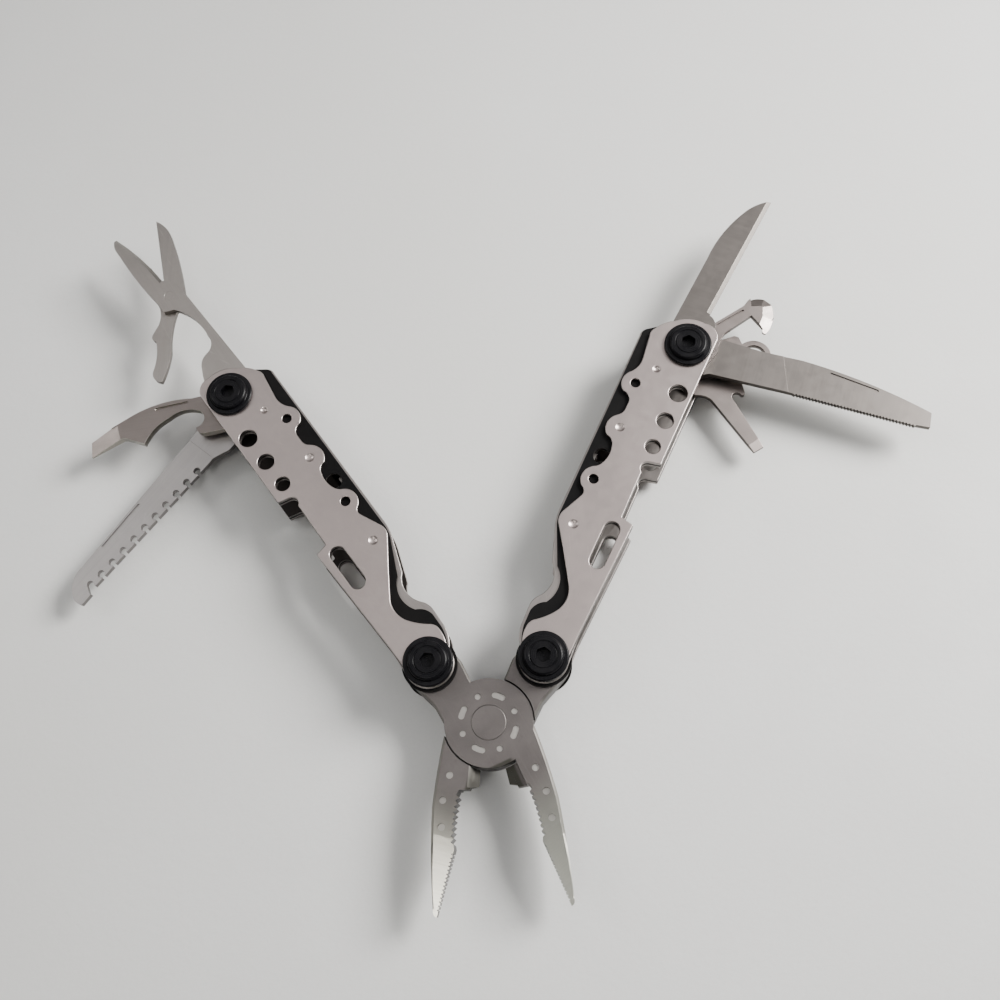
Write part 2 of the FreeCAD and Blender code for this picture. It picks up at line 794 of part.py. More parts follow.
def make_scissors_arm(low, high):
    """Arm with the fixed blade, which crosses over at the rivet."""
    plan = outline(
        (0, -TANG_R),
        (5.8, -6.6),
        (33.7, -3.6),
        ((37.2, -2.7), (39.6, -0.5)),
        ((49.5, 1.3), (58.0, 4.1)),
        ((56.6, 5.1), (53.3, 5.5)),
        ((44.5, 5.0), (35.3, 3.7)),
        (31.2, 3.2),
        (30.4, 0.8),
        ((25.6, -2.1), (19.0, -2.9)),
        ((16.3, -2.5), (14.8, -0.8)),
        ((13.6, 1.4), (11.6, 2.5)),
        (9.7, 3.2),
        (0, TANG_R),
    )
    body = slab(plan, low, high).fuse(tool_base(low, high))
    edge = [(39.6, -0.5), (44.6, 0.3), (49.5, 1.3), (54.2, 2.65), (58.4, 4.25)]
    cutters = [edge_bevel(p0, p1, 0.9, high, low + 0.35) for p0, p1 in zip(edge, edge[1:])]
    return body.cut(cutters + [tool_bore(low, high), scissors_rivet_shape(0)])


def make_scissors_lever(low, high):
    """Loose blade and its thumb lever, about the same rivet."""
    plan = outline(
        (39.6, -0.5),
        (38.0, 3.4),
        (35.6, 3.6),
        ((31.7, 4.4), (29.6, 6.1)),
        (28.0, 8.5),
        ((27.0, 9.1), (25.9, 8.6)),
        ((22.2, 10.2), (19.0, 12.7)),
        ((16.7, 13.6), (14.9, 12.4)),
        ((17.6, 9.5), (21.0, 6.8)),
        ((26.4, 3.8), (30.4, 0.5)),
        (31.6, -3.2),
        (33.6, -3.5),
        ((42.9, -6.5), (50.6, -8.2)),
        ((54.6, -8.3), (57.6, -7.1)),
    )
    body = slab(plan, low, high)
    bevel = edge_bevel((57.9, -7.15), (39.6, -0.45), 0.9, low, high - 0.35)
    return body.cut([bevel, scissors_rivet_shape(RUNNING)])


def scissors_rivet_shape(play):
    """Rivet with flush tapered heads. play widens it for the hole of the piece that turns on it."""
    low = piece_levels(LEFT_STACK, "scissors_lever")[0]
    high = piece_levels(LEFT_STACK, "scissors_arm")[1]
    shank, head, taper = 0.9 + play, 1.25 + play, 0.35
    rivet = turned(
        (0, low),
        (head, low),
        (shank, low + taper),
        (shank, high - taper),
        (head, high),
        (0, high),
    )
    rivet.translate(FreeCAD.Vector(SCISSORS_PIVOT, 0, 0))
    return rivet


# ---- assembly -----------------------------------------------------------------------------
def handle_shapes(spring, pierced_below):
    """Every fixed piece of a handle in the handle's own flat frame, by name."""
    z = [Z_PLATES, Z_PLATES + SCALE_T, Z_PLATES + SCALE_T + LINER_T, Z_CHANNEL]
    top = [Z_PLATES_TOP, Z_PLATES_TOP - SCALE_T, Z_PLATES_TOP - SCALE_T - LINER_T, Z_CHANNEL_TOP]
    shapes = {
        "scale_bottom": make_scale(z[0], z[1], z[0], 1, pierced_below),
        "liner_bottom": make_liner(z[1], z[2], pierced_below),
        "frame_bottom": make_frame(z[2], z[3], pierced_below),
        "frame_top": make_frame(top[3], top[2]),
        "liner_top": make_liner(top[2], top[1]),
        "scale_top": make_scale(top[1], top[0], top[0], -1),
        "pliers_bolt": make_bolt(PLIERS_BOLT_R),
        "pliers_nut": make_nut(PLIERS_BOLT_R),
        "tool_bolt": make_bolt(TOOL_BOLT_R),
        "tool_nut": make_nut(TOOL_BOLT_R),
        "thrust_washers": Part.makeCompound(make_thrust_washers()),
        "spacer_posts": Part.makeCompound(make_posts()),
        "back_spring": spring,
    }
    for name in ("pliers_bolt", "pliers_nut", "thrust_washers"):
        shapes[name].translate(FreeCAD.Vector(*NECK_BOLT, 0))
    for name in ("tool_bolt", "tool_nut"):
        shapes[name].translate(FreeCAD.Vector(HANDLE_PITCH, 0, 0))
    return shapes


def neck_of(bolt, angle, spine):
    """Neck end of a handle's centre line. spine is +1 if the spine is on the left of its direction."""
    along, across = NECK_BOLT
    return bolt - polar(along, angle) - polar(across, angle + 90 * spine)


def tool_washers():
    """Steel washers that fill the free slots on the left tool bolt."""
    rings = []
    for name in ("scissors_lever", "washer"):
        low, high = piece_levels(LEFT_STACK, name)
        rings.append(disc(0, 0, 4.6, low, high).cut(disc(0, 0, TOOL_BOLT_R, low - 1, high + 1)))
    return Part.makeCompound(rings)


def build():
    """All named parts about the pliers pivot, and the joint centres."""
    parts = {}
    bolt_left = polar(TANG_LENGTH, 90 + TANG_LEFT)
    bolt_right = polar(TANG_LENGTH, 90 - TANG_RIGHT)
    dir_left = 90 + LEFT_SPREAD
    dir_right = 90 - RIGHT_SPREAD
    neck_left = neck_of(bolt_left, dir_left, -1)
    neck_right = neck_of(bolt_right, dir_right, 1)
    end_left = neck_left + polar(HANDLE_PITCH, dir_left)
    end_right = neck_right + polar(HANDLE_PITCH, dir_right)
    middle = FreeCAD.Vector(0, 0, Z_MID)

    jaw_a = make_jaw(TANG_LEFT)
    jaw_a.rotate(ZERO, FreeCAD.Vector(0, 1, 0), 180)
    jaw_b = make_jaw(TANG_RIGHT)
    parts["jaw_a"] = jaw_a.cut(rivet_bore(0))
    parts["jaw_b"] = jaw_b.cut(rivet_bore(RUNNING))
    parts["pivot_rivet"] = make_pivot_rivet()
    for name in ("jaw_a", "jaw_b", "pivot_rivet"):
        parts[name].translate(middle)

    springs = {
        "left": make_spring(LEFT_STACK, ("scissors_lever", "washer")),
        "right": make_spring(RIGHT_STACK, ()),
    }
    handles = (("left", neck_left, dir_left, True), ("right", neck_right, dir_right, False))
    for side, neck, angle, flip in handles:
        for name, shape in handle_shapes(springs[side], side == "right").items():
            parts[f"{name}_{side}"] = place(shape, neck, angle, flip)

    parts["tool_washers_left"] = place(tool_washers(), end_left, 0, False)
    left_tools = {"scissors_arm": make_scissors_arm, "cap_lifter": make_cap_lifter, "wood_saw": make_saw}
    for name, make in left_tools.items():
        shape = make(*piece_levels(LEFT_STACK, name))
        parts[name] = place(shape, end_left, dir_left + REST[name], False)
    right_tools = {
        "knife": make_knife,
        "can_opener": make_can_opener,
        "file": make_file,
        "lanyard_loop": make_lanyard_loop,
        "screwdriver": make_screwdriver,
    }
    for name, make in right_tools.items():
        shape = make(*piece_levels(RIGHT_STACK, name))
        parts[name] = place(shape, end_right, dir_right - REST[name], True)

    scissors_angle = dir_left + REST["scissors_arm"]
    lever = make_scissors_lever(*piece_levels(LEFT_STACK, "scissors_lever"))
    parts["scissors_lever"] = place(lever, end_left, scissors_angle, False)
    parts["scissors_rivet"] = place(scissors_rivet_shape(0), end_left, scissors_angle, False)

    centres = {
        "pliers_pivot": ZERO,
        "pliers_bolt_left": bolt_left,
        "pliers_bolt_right": bolt_right,
        "tool_bolt_left": end_left,
        "tool_bolt_right": end_right,
        "scissors_rivet": end_left + polar(SCISSORS_PIVOT, scissors_angle),
    }
    return parts, centres


def main():
    os.makedirs("parts", exist_ok=True)
    parts, centres = build()
    box = Part.makeCompound(list(parts.values())).optimalBoundingBox(False, False)
    shift = FreeCAD.Vector(-(box.XMin + box.XMax) / 2, -(box.YMin + box.YMax) / 2, 0)
    for name, shape in parts.items():
        shape.translate(shift)
        for solid in shape.Solids:
            assert solid.isValid() and solid.Volume > 0, name
        shape.exportStep(f"parts/{name}.step")
        print(f"{name}: {len(shape.Solids)} solid(s), {shape.Volume:.1f} mm3")
    for name, centre in centres.items():
        print(f"centre {name}: {centre.x + shift.x:.4f} {centre.y + shift.y:.4f}")
    print(f"size: {box.XLength:.2f} x {box.YLength:.2f} x {box.ZLength:.2f} from {box.ZMin:.2f}")


main()
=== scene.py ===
import math

import bpy
import numpy as np
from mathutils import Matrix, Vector


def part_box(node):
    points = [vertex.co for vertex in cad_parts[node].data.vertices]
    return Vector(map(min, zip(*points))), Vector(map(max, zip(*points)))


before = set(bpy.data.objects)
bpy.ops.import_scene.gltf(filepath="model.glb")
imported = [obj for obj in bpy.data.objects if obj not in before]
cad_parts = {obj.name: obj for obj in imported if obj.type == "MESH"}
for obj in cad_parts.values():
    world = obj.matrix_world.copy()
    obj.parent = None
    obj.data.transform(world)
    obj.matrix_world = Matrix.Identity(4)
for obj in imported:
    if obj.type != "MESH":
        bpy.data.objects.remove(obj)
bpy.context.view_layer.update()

# The multi tool's CAD nodes with softened edges and procedural metal finishes, on a pale table top.
# Everything is in metres. Places come from the frame: the pliers pivot and the bolts.

MM = 0.001


def centre_of(name):
    low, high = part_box(name)
    return (Vector(low) + Vector(high)) / 2


PIVOT = centre_of("pivot_rivet")
JAW_HALF_T = 3.0 * MM            # from the pivot's level to a jaw's flat face
CHANNEL_HALF = 3.8 * MM          # from the pivot's level to a frame's inner face
NOSE_START = 15.0 * MM           # from the pivot to where a jaw's nose starts to brighten
NOSE_END = 41.0 * MM             # from the pivot to a jaw's tip
MARKS_END = 24.5 * MM            # from the pivot to the outer end of the pressed marks
CUTTER_START = 9.0 * MM          # from the pivot to the ends of the wire cutter
CUTTER_END = 15.0 * MM
JAW_ANGLE = math.radians(19.6)   # between a jaw and the tool's centre line
NOSE_GROUND_AND_HIGHLIGHT = ((0.17, 0.165, 0.145), (0.92, 0.89, 0.79))     # at the nose's root and at its tip; the near white tip is a painted highlight
GROUND_NOSE = ((0.25, 0.25, 0.22), (0.48, 0.48, 0.43))
PAINTED_CHANNEL_SHADE = ((0.022, 0.019, 0.018), (0.045, 0.040, 0.038))      # painted shade on a frame's inner face inside the tool channel, from and to
JAW_STEEL = (0.152, 0.138, 0.134)
JAW_WALL_SHADE = (0.05, 0.047, 0.044)
JAW_EDGE_HIGHLIGHT = (0.30, 0.29, 0.265)
CUTTER_STEEL = (0.045, 0.045, 0.036)
MARK_HIGHLIGHT = (0.52, 0.50, 0.47)
BLACK_GLOSS = 0.12               # specular level of the blackened pieces
LEVEL_MARGIN = 0.05 * MM         # added to a level that a face lies on, so that the face counts as inside
TURNING_PITCH = 0.42 * MM        # between the machining rings of a bolt
WELD_DISTANCE = 0.001 * MM
FLAT_ANGLE = math.radians(0.4)   # triangles that differ by less are one flat face
EDGE_ANGLE = math.radians(32)    # edges sharper than this are rounded
FLOOR_HALF = 0.9                 # half the side of the table top

# ---- camera: the photograph's viewing angle ---------------------------------------------------
CAMERA_FROM_PIVOT = (13.47 * MM, -39.52 * MM)
CAMERA_HEIGHT = 243.2 * MM
CAMERA_TURN = (0.3442, 0.0687, -0.0800)
CAMERA_LENS = 39.24
CAMERA_SHIFT = (0.0085, 0.0229)

# ---- lights: place, target, size, watts, spread in degrees, colour ------------------------------
LIGHTS = {
    "ceiling": ((0.16, 0.38, 0.80), (0.05, 0.12, 0.0), (1.20, 1.05), 2.85, 180, (1.0, 0.99, 0.985)),
    "key": ((0.52, 0.16, 0.40), (0.10, 0.04, 0.0), (0.30, 0.30), 3.1, 90, (1.0, 0.985, 0.96)),
    "tip": ((-0.78, 0.32, 0.72), (-0.10, 0.02, 0.0), (0.40, 0.40), 0.32, 60, (1.0, 0.99, 0.96)),
    "nose": ((-0.16, -0.24, 0.66), (-0.02, -0.09, 0.0), (0.20, 0.20), 0.10, 60, (1.0, 0.98, 0.93)),
}
SKY = (0.88, 0.89, 0.92)
SKY_STRENGTH = 0.16


# ---- node graph helper ------------------------------------------------------------------------
class Graph:
    """Node tree of one material, with short calls for the nodes that the looks share."""

    def __init__(self, name):
        self.material = bpy.data.materials.new(name)
        self.material.use_nodes = True
        self.tree = self.material.node_tree
        self.shader = self.tree.nodes["Principled BSDF"]

    def add(self, kind, inputs, **settings):
        made = self.tree.nodes.new(kind)
        for key, value in settings.items():
            setattr(made, key, value)
        for key, value in inputs.items():
            self.put(made.inputs[key], value)
        return made

    def put(self, socket, value):
        if isinstance(value, bpy.types.NodeSocket):
            self.tree.links.new(value, socket)
        else:
            socket.default_value = value

    def place(self):
        """Coordinates fixed to the piece, in metres."""
        return self.add("ShaderNodeTexCoord", {}).outputs["Object"]

    def turned(self, angle, stretch):
        """The piece's coordinates turned so that X runs along angle, then stretched."""
        spun = self.add("ShaderNodeMapping", {"Vector": self.place(), "Rotation": (0, 0, -angle)})
        return self.add("ShaderNodeMapping", {"Vector": spun.outputs[0], "Scale": stretch}).outputs[0]

    def noise(self, vector, scale, detail=3.0, roughness=0.5, distortion=0.0):
        inputs = {"Vector": vector, "Scale": scale, "Detail": detail}
        inputs.update({"Roughness": roughness, "Distortion": distortion})
        return self.add("ShaderNodeTexNoise", inputs).outputs[0]

    def fit(self, value, low, high, out_low=0.0, out_high=1.0):
        inputs = {"Value": value, "From Min": low, "From Max": high, "To Min": out_low, "To Max": out_high}
        return self.add("ShaderNodeMapRange", inputs, interpolation_type="SMOOTHSTEP").outputs[0]

    def math(self, operation, first, second=0.0):
        return self.add("ShaderNodeMath", {0: first, 1: second}, operation=operation).outputs[0]

    def product(self, first, *others):
        for other in others:
            first = self.math("MULTIPLY", first, other)
        return first

    def mix(self, factor, first, second):
        inputs = {0: factor, 6: rgba(first), 7: rgba(second)}
        return self.add("ShaderNodeMix", inputs, data_type="RGBA").outputs[2]

    def blend(self, factor, first, second):
        """Plain number between two others."""
        return self.add("ShaderNodeMix", {0: factor, 2: first, 3: second}, data_type="FLOAT").outputs[0]

    def bump(self, height, depth):
        inputs = {"Height": height, "Strength": 1.0, "Distance": depth}
        return self.add("ShaderNodeBump", inputs).outputs[0]

    def upright(self):
        """1 on level faces, 0 on walls."""
        normal = self.add("ShaderNodeNewGeometry", {}).outputs["True Normal"]
        parts = self.add("ShaderNodeSeparateXYZ", {0: normal})
        return self.math("ABSOLUTE", parts.outputs[2])

    def vector(self, operation, first, second=None):
        """A vector operation's node."""
        inputs = {0: first} if second is None else {0: first, 1: second}
        return self.add("ShaderNodeVectorMath", inputs, operation=operation)

    def offset(self, centre):
        """The piece's coordinates from a centre."""
        return self.vector("SUBTRACT", self.place(), tuple(centre)).outputs[0]

    def radius(self, centre):
        """Distance from a vertical axis."""
        flat = self.vector("MULTIPLY", self.offset(centre), (1, 1, 0))
        return self.vector("LENGTH", flat.outputs[0]).outputs["Value"]

    def level(self, centre):
        """Height above or below a level."""
        parts = self.add("ShaderNodeSeparateXYZ", {0: self.place()})
        return self.math("ABSOLUTE", self.math("SUBTRACT", parts.outputs[2], centre))

    def across(self, centre, direction):
        """Distance from a centre along a direction."""
        return self.vector("DOT_PRODUCT", self.offset(centre), direction).outputs["Value"]

    def finish(self, colour, roughness, normal, metallic=1.0):
        self.put(self.shader.inputs["Base Color"], rgba(colour))
        self.put(self.shader.inputs["Roughness"], roughness)
        self.put(self.shader.inputs["Normal"], normal)
        self.shader.inputs["Metallic"].default_value = metallic
        return self.material


def rgba(colour):
    return (*colour, 1.0) if isinstance(colour, tuple) else colour


def shade(colour, factor):
    """The colour made lighter or darker."""
    return tuple(min(1.0, c * factor) for c in colour)


# ---- looks ------------------------------------------------------------------------------------
def steel(name, along, colour, roughness, brush, grain, rim, rim_roughness, dark_within=None):
    """Ground or blasted steel.

    along is the direction of the brush lines. brush is the strength of those lines and grain that of
    the blasted texture. rim is the colour painted on softened edges and bevels: painted highlight where it
    is lighter than the faces and painted shade where it is darker, for how the edges catch the light.
    dark_within is the distance above and below the pivot's level within which the steel gets painted shade,
    for the shade inside the tool channel.
    """
    g = Graph(name)
    place = g.place()
    lines = g.noise(g.turned(along, (35.0, 5200.0, 35.0)), 1.0, 4.0, 0.6)
    wide_lines = g.noise(g.turned(along, (18.0, 900.0, 18.0)), 1.0, 2.0)
    cloud = g.noise(place, 55.0, 3.0)
    mottle = g.noise(place, 420.0, 4.0, 0.6)
    blasted = g.noise(place, 7000.0, 2.0, 0.7)
    scuff = g.noise(g.turned(along + 0.5, (120.0, 2600.0, 120.0)), 1.0, 3.0, 0.55, 0.4)
    scuffs = g.fit(scuff, 0.66, 0.74)

    tone = g.mix(g.fit(cloud, 0.35, 0.65), shade(colour, 0.93), shade(colour, 1.06))
    tone = g.mix(g.fit(mottle, 0.3, 0.7, 0.0, 0.35), tone, shade(colour, 0.9))
    tone = g.mix(g.fit(lines, 0.3, 0.7, 0.0, 0.5 * brush), tone, shade(colour, 0.78))
    tone = g.mix(g.fit(wide_lines, 0.35, 0.7, 0.0, 0.4 * brush), tone, shade(colour, 1.16))
    tone = g.mix(g.fit(blasted, 0.4, 0.75, 0.0, 0.3 * grain), tone, shade(colour, 1.25))
    tone = g.mix(g.math("MULTIPLY", scuffs, 0.35), tone, shade(colour, 1.35))

    rough = g.fit(lines, 0.25, 0.75, roughness - 0.07 * brush, roughness + 0.08 * brush)
    rough = g.math("ADD", rough, g.fit(mottle, 0.3, 0.7, -0.03, 0.03))
    up = g.upright()
    # Painted highlight and painted shade: softened edges and bevels take the rim colour, lighter or darker
    # than the faces.
    edge = g.fit(up, 0.97, 0.6)
    tone = g.mix(edge, tone, g.mix(mottle, shade(rim, 0.9), rim))
    # Painted shade: walls of plates and holes are darkened to 0.35 of the colour, as faces turned sideways.
    tone = g.mix(g.fit(up, 0.3, 0.1, 0.0, 0.75), tone, shade(colour, 0.35))
    rough = g.blend(edge, rough, rim_roughness)
    # Painted shade inside the tool channel, on the frame's inner face.
    if dark_within is not None:
        inner = g.math("LESS_THAN", g.level(PIVOT.z), dark_within + LEVEL_MARGIN)
        tone = g.mix(inner, tone, g.mix(mottle, *PAINTED_CHANNEL_SHADE))
        rough = g.blend(inner, rough, 0.6)

    height = g.math("ADD", g.math("MULTIPLY", lines, brush), g.math("MULTIPLY", blasted, grain))
    return g.finish(tone, rough, g.bump(height, 0.012 * MM))


def scale_look(name, along, centre):
    """Blasted plate with a little brushing."""
    return steel(name, along, colour=(0.425, 0.368, 0.352), roughness=0.38, brush=0.22, grain=0.8,
                 rim=(0.46, 0.43, 0.41), rim_roughness=0.3)


def frame_look(name, along, centre):
    """Bright rim outside. Painted shade darkens the face towards the tools, for the shade in the channel,
    except in the pierced plate, whose inner face is lit.
    """
    dark_within = None if name.endswith("bottom_right") else CHANNEL_HALF
    return steel(name, along, colour=(0.34, 0.31, 0.295), roughness=0.34, brush=0.8, grain=0.2,
                 rim=(0.34, 0.315, 0.30), rim_roughness=0.32, dark_within=dark_within)


def blade_look(name, along, centre):
    """Ground across the blade; painted shade makes the sharpened bevels slightly darker."""
    return steel(name, along + math.pi / 2, colour=(0.185, 0.168, 0.156), roughness=0.38, brush=0.4,
                 grain=0.25, rim=(0.15, 0.141, 0.129), rim_roughness=0.38)


def scissors_look(name, along, centre):
    return steel(name, along, colour=(0.400, 0.368, 0.345), roughness=0.38, brush=0.4, grain=0.25,
                 rim=(0.34, 0.32, 0.30), rim_roughness=0.38)


def saw_look(name, along, centre):
    return steel(name, along, colour=(0.410, 0.388, 0.382), roughness=0.4, brush=0.5, grain=0.4,
                 rim=(0.36, 0.34, 0.33), rim_roughness=0.4)


def tool_look(name, along, centre):
    return steel(name, along, colour=(0.275, 0.240, 0.226), roughness=0.38, brush=0.45, grain=0.5,
                 rim=(0.15, 0.138, 0.128), rim_roughness=0.38)


def lifter_look(name, along, centre):
    """Dark body. Its edges and the ground slope of its screwdriver tip take a near white painted highlight.
    """
    return steel(name, along, colour=(0.235, 0.205, 0.192), roughness=0.38, brush=0.45, grain=0.5,
                 rim=(0.88, 0.86, 0.76), rim_roughness=0.3)


def spring_look(name, along, centre):
    return steel(name, along, colour=(0.20, 0.185, 0.175), roughness=0.38, brush=0.7, grain=0.3,
                 rim=(0.34, 0.32, 0.30), rim_roughness=0.3)


def liner_look(name, along, centre):
    """Blackened steel, rubbed a little thinner in streaks."""
    g = Graph(name)
    place = g.place()
    mottle = g.noise(place, 900.0, 4.0, 0.65)
    lines = g.noise(g.turned(along, (60.0, 3800.0, 60.0)), 1.0, 3.0)
    cloud = g.noise(place, 110.0, 2.0)
    tone = g.mix(g.fit(cloud, 0.3, 0.7), (0.0020, 0.0018, 0.0020), (0.0042, 0.0038, 0.0038))
    tone = g.mix(g.fit(mottle, 0.62, 0.8, 0.0, 0.5), tone, (0.012, 0.0105, 0.010))
    worn = g.math("MULTIPLY", g.fit(g.upright(), 0.9, 0.3), g.fit(lines, 0.42, 0.6, 0.25, 0.8))
    tone = g.mix(worn, tone, (0.045, 0.040, 0.037))
    rough = g.fit(mottle, 0.3, 0.7, 0.42, 0.58)
    height = g.math("ADD", mottle, g.math("MULTIPLY", lines, 0.5))
    g.shader.inputs["Specular IOR Level"].default_value = BLACK_GLOSS
    return g.finish(tone, rough, g.bump(height, 0.01 * MM), 0.0)


def bolt_look(name, along, centre):
    """Black oxide over turned steel: fine machining rings about the bolt's own axis."""
    g = Graph(name)
    radius = g.radius(centre)
    wobble = g.math("MULTIPLY", g.noise(g.place(), 260.0, 2.0), 0.06 * MM)
    turns = g.math("MULTIPLY", g.math("ADD", radius, wobble), 2 * math.pi / TURNING_PITCH)
    rings = g.math("SINE", turns)
    fine = g.math("SINE", g.math("MULTIPLY", turns, 3.7))
    speck = g.noise(g.place(), 2600.0, 3.0, 0.6)
    cloud = g.noise(g.place(), 320.0, 3.0)
    tone = g.mix(g.fit(cloud, 0.3, 0.7), (0.0024, 0.0024, 0.0033), (0.0055, 0.0053, 0.0062))
    tone = g.mix(g.fit(rings, 0.2, 1.0, 0.0, 0.35), tone, (0.013, 0.0125, 0.014))
    tone = g.mix(g.fit(speck, 0.62, 0.8, 0.0, 0.5), tone, (0.025, 0.024, 0.024))
    rough = g.fit(cloud, 0.3, 0.7, 0.24, 0.36)
    height = g.math("ADD", g.math("MULTIPLY", rings, 0.7), g.math("MULTIPLY", fine, 0.3))
    height = g.math("ADD", height, g.math("MULTIPLY", speck, 0.6))
    g.shader.inputs["Specular IOR Level"].default_value = BLACK_GLOSS
    return g.finish(tone, rough, g.bump(height, 0.008 * MM), 0.0)


def pressed_marks(g, out, up):
    """1 on the sunk floors of the dots and slots that are pressed into a jaw's flat faces."""
    depth = g.level(PIVOT.z)
    near_face = g.math("GREATER_THAN", depth, JAW_HALF_T - 0.8 * MM)
    below_face = g.math("LESS_THAN", depth, JAW_HALF_T - 0.1 * MM)
    inside = g.math("LESS_THAN", out, MARKS_END)
    level_floor = g.math("GREATER_THAN", up, 0.96)
    return g.product(near_face, below_face, inside, level_floor)


def wire_cutter(g, out, side):
    """1 on a jaw's wire cutter, on its inner side. side is 1 for the left jaw and -1 for the right."""
    sine, cosine = math.sin(JAW_ANGLE), math.cos(JAW_ANGLE)
    inward = g.across(PIVOT, (side * cosine, -sine, 0))
    forward = g.across(PIVOT, (-side * sine, -cosine, 0))
    near_grip = g.fit(inward, -1.6 * MM, -0.9 * MM)
    behind_teeth = g.math("LESS_THAN", out, CUTTER_END)
    before_boss = g.fit(forward, CUTTER_START - 0.5 * MM, CUTTER_START)
    return g.product(near_grip, behind_teeth, before_boss)


def jaw_steel(g, along, stain, pits):
    """Dark tumbled steel."""
    cloud = g.noise(g.place(), 90.0, 3.0)
    lines = g.noise(g.turned(along, (50.0, 2600.0, 50.0)), 1.0, 3.0, 0.6)
    tone = g.mix(g.fit(cloud, 0.35, 0.65), shade(JAW_STEEL, 0.9), shade(JAW_STEEL, 1.08))
    tone = g.mix(g.fit(stain, 0.45, 0.75, 0.0, 0.35), tone, shade(JAW_STEEL, 0.72))
    tone = g.mix(g.fit(pits, 0.55, 0.8, 0.0, 0.4), tone, shade(JAW_STEEL, 1.35))
    return g.mix(g.fit(lines, 0.55, 0.75, 0.0, 0.25), tone, shade(JAW_STEEL, 1.25))


def jaw_look(name, along, centre):
    """Dark tumbled steel with dark cutters and a nose that is ground bright. Painted highlight lightens the
    pressed marks, the softened edges and, on one jaw, the nose towards its tip; painted shade darkens the
    walls.
    """
    g = Graph(name)
    side, (root, tip) = (1, NOSE_GROUND_AND_HIGHLIGHT) if name.endswith("jaw_b") else (-1, GROUND_NOSE)
    stain = g.noise(g.place(), 330.0, 5.0, 0.65, 0.6)
    pits = g.noise(g.place(), 3400.0, 3.0, 0.7)
    cross = g.noise(g.turned(along + math.pi / 2 + 0.12, (90.0, 3600.0, 90.0)), 1.0, 3.0, 0.6)
    out = g.radius(PIVOT)
    up = g.upright()

    ragged = g.math("ADD", out, g.product(stain, 3.0 * MM))
    nose = g.fit(ragged, NOSE_START, NOSE_START + 13.0 * MM)
    # The nose is ground bright. On jaw_b its colour rises to near white at the tip: a painted highlight of
    # the light its sloped face reflects.
    ground = g.mix(g.fit(out, NOSE_START, NOSE_END), root, tip)
    ground = g.mix(g.fit(cross, 0.3, 0.7, 0.0, 0.1), ground, root)
    off_walls = g.math("SUBTRACT", 1.0, g.product(g.fit(up, 0.75, 0.4), 0.7))
    soft_edge = g.product(g.fit(up, 0.97, 0.8), g.fit(up, 0.3, 0.6))

    tone = g.mix(g.product(nose, off_walls), jaw_steel(g, along, stain, pits), ground)
    tone = g.mix(g.product(wire_cutter(g, out, side), 0.85), tone, CUTTER_STEEL)
    # Painted shade on the jaw's walls, the faces turned sideways.
    tone = g.mix(g.fit(up, 0.3, 0.1, 0.0, 0.8), tone, JAW_WALL_SHADE)
    # Painted highlight: the floors of the pressed marks are lightened, for the glints that the dimples
    # catch.
    tone = g.mix(g.product(pressed_marks(g, out, up), 0.65), tone, MARK_HIGHLIGHT)
    # Painted highlight on the jaw's softened edges, which catch the light.
    tone = g.mix(g.product(soft_edge, 0.5), tone, JAW_EDGE_HIGHLIGHT)

    rough = g.fit(stain, 0.3, 0.7, 0.4, 0.5)
    rough = g.blend(nose, rough, g.fit(cross, 0.3, 0.7, 0.3, 0.34))
    height = g.math("ADD", pits, g.product(cross, nose, 0.08))
    return g.finish(tone, rough, g.bump(height, 0.014 * MM))


def floor_look():
    """Pale matt table top with a faint leather-like grain."""
    g = Graph("table_top")
    place = g.place()
    cloud = g.noise(place, 6.0, 3.0)
    mottle = g.noise(place, 45.0, 4.0, 0.6)
    cells = g.add("ShaderNodeTexVoronoi", {"Vector": place, "Scale": 620.0}, feature="SMOOTH_F1").outputs[0]
    grain = g.noise(place, 1500.0, 3.0, 0.6)
    tone = g.mix(g.fit(cloud, 0.3, 0.7), (0.655, 0.652, 0.632), (0.690, 0.690, 0.682))
    tone = g.mix(g.fit(mottle, 0.35, 0.7, 0.0, 0.3), tone, (0.635, 0.632, 0.622))
    tone = g.mix(g.fit(grain, 0.4, 0.7, 0.0, 0.18), tone, (0.60, 0.60, 0.592))
    height = g.math("ADD", g.math("MULTIPLY", cells, 0.5), g.math("MULTIPLY", grain, 0.5))
    return g.finish(tone, g.fit(mottle, 0.3, 0.7, 0.5, 0.62), g.bump(height, 0.05 * MM), 0.0)


# The starts of node names, their look, and the radius in millimetres of their softened edges.
FINISHES = (
    (("scale_",), scale_look, 0.22),
    (("frame_",), frame_look, 0.20),
    (("liner_",), liner_look, 0.07),
    (("pliers_bolt", "pliers_nut", "tool_bolt", "tool_nut"), bolt_look, 0.09),
    (("thrust_washers",), liner_look, 0.06),
    (("jaw_", "pivot_rivet"), jaw_look, 0.22),
    (("knife", "file"), blade_look, 0.06),
    (("scissors_arm", "scissors_lever", "scissors_rivet"), scissors_look, 0.06),
    (("wood_saw",), saw_look, 0.07),
    (("cap_lifter",), lifter_look, 0.06),
    (("can_opener", "lanyard_loop", "screwdriver"), tool_look, 0.12),
    (("back_spring", "spacer_posts", "tool_washers"), spring_look, 0.08),
)


def long_direction(node):
    """Direction, in the XY plane, in which the node is longest."""
    count = len(node.data.vertices)
    points = np.zeros(count * 3, np.float32)
    node.data.vertices.foreach_get("co", points)
    flat = points.reshape(count, 3)[:, :2].astype(float)
    flat -= flat.mean(axis=0)
    vectors = np.linalg.eigh(flat.T @ flat)[1]
    return math.atan2(vectors[1, 1], vectors[0, 1])


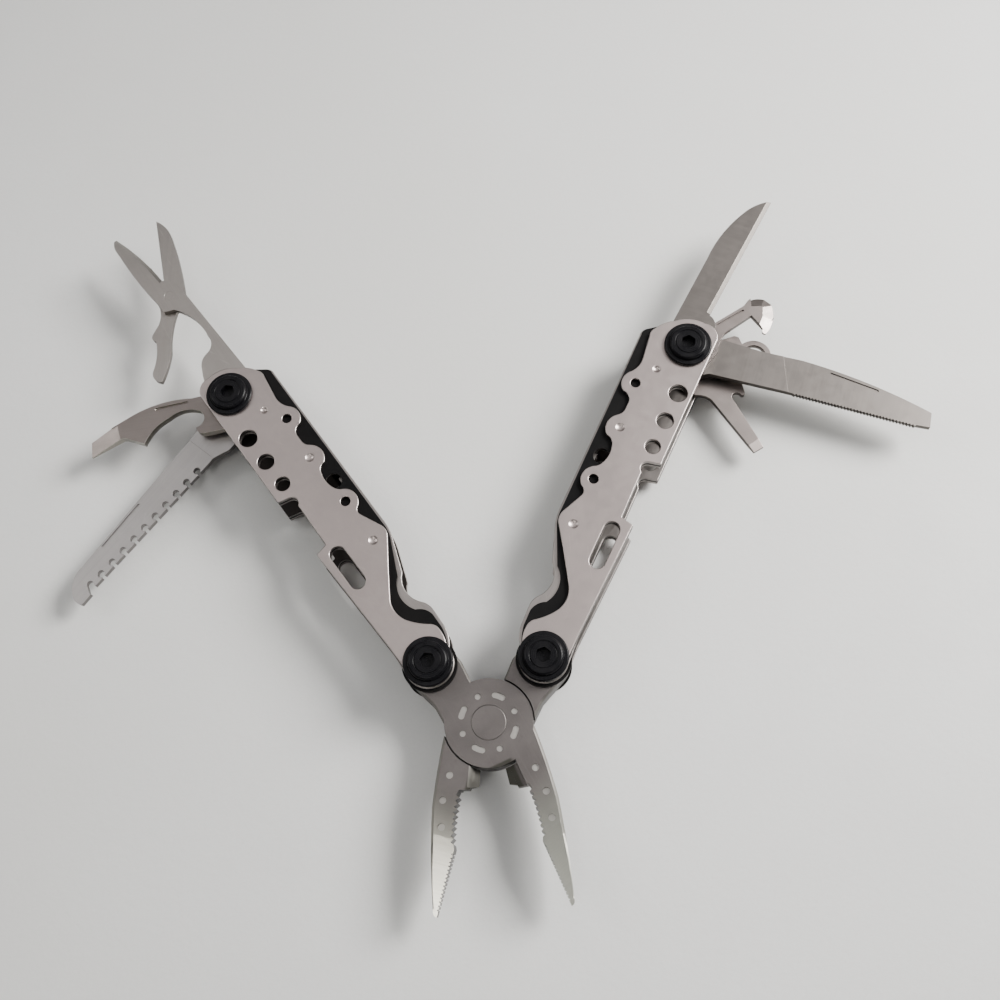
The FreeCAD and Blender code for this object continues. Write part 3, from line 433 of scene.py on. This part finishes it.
def soften(node, radius):
    """Joins the faces that are split in the imported mesh, merges flat triangles, and rounds the sharp
    edges.
    """
    weld = node.modifiers.new("weld", "WELD")
    weld.merge_threshold = WELD_DISTANCE
    flatten = node.modifiers.new("flatten", "DECIMATE")
    flatten.decimate_type = "DISSOLVE"
    flatten.angle_limit = FLAT_ANGLE
    bevel = node.modifiers.new("soft_edges", "BEVEL")
    bevel.width = radius * MM
    bevel.segments = 3 if radius > 0.2 else 2
    bevel.limit_method = "ANGLE"
    bevel.angle_limit = EDGE_ANGLE
    bevel.use_clamp_overlap = not node.name.startswith(("scale_", "frame_"))
    bevel.harden_normals = True
    bevel.miter_outer = "MITER_ARC"


def dress(name, node):
    for starts, look, radius in FINISHES:
        if name.startswith(starts):
            material = look("finish_" + name, long_direction(node), centre_of(name))
            node.data.materials.clear()
            node.data.materials.append(material)
            soften(node, radius)
            return
    raise ValueError(f"no finish for {name}")


# ---- scene ------------------------------------------------------------------------------------
def add_camera():
    data = bpy.data.cameras.new("camera")
    data.lens = CAMERA_LENS
    data.sensor_width = 36.0
    data.shift_x, data.shift_y = CAMERA_SHIFT
    data.clip_start = 0.001
    camera = bpy.data.objects.new("camera", data)
    camera.location = (PIVOT.x + CAMERA_FROM_PIVOT[0], PIVOT.y + CAMERA_FROM_PIVOT[1], CAMERA_HEIGHT)
    camera.rotation_euler = CAMERA_TURN
    bpy.context.scene.collection.objects.link(camera)
    bpy.context.scene.camera = camera


def add_light(name, place, target, size, power, spread, colour):
    data = bpy.data.lights.new(name, "AREA")
    data.shape = "RECTANGLE"
    data.size, data.size_y = size
    data.energy = power
    data.spread = math.radians(spread)
    data.color = colour
    light = bpy.data.objects.new(name, data)
    light.location = place
    light.rotation_euler = (Vector(target) - Vector(place)).to_track_quat("-Z", "Y").to_euler()
    bpy.context.scene.collection.objects.link(light)


def add_sky():
    world = bpy.data.worlds.new("studio")
    world.use_nodes = True
    background = world.node_tree.nodes["Background"]
    background.inputs["Color"].default_value = rgba(SKY)
    background.inputs["Strength"].default_value = SKY_STRENGTH
    bpy.context.scene.world = world


def add_floor():
    corners = [(x * FLOOR_HALF, y * FLOOR_HALF, 0) for x, y in ((-1, -1), (1, -1), (1, 1), (-1, 1))]
    data = bpy.data.meshes.new("floor")
    data.from_pydata(corners, [], [(0, 1, 2, 3)])
    floor = bpy.data.objects.new("floor", data)
    bpy.context.scene.collection.objects.link(floor)
    data.materials.append(floor_look())


for name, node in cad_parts.items():
    dress(name, node)
add_floor()
add_sky()
for name, setting in LIGHTS.items():
    add_light(name, *setting)
add_camera()
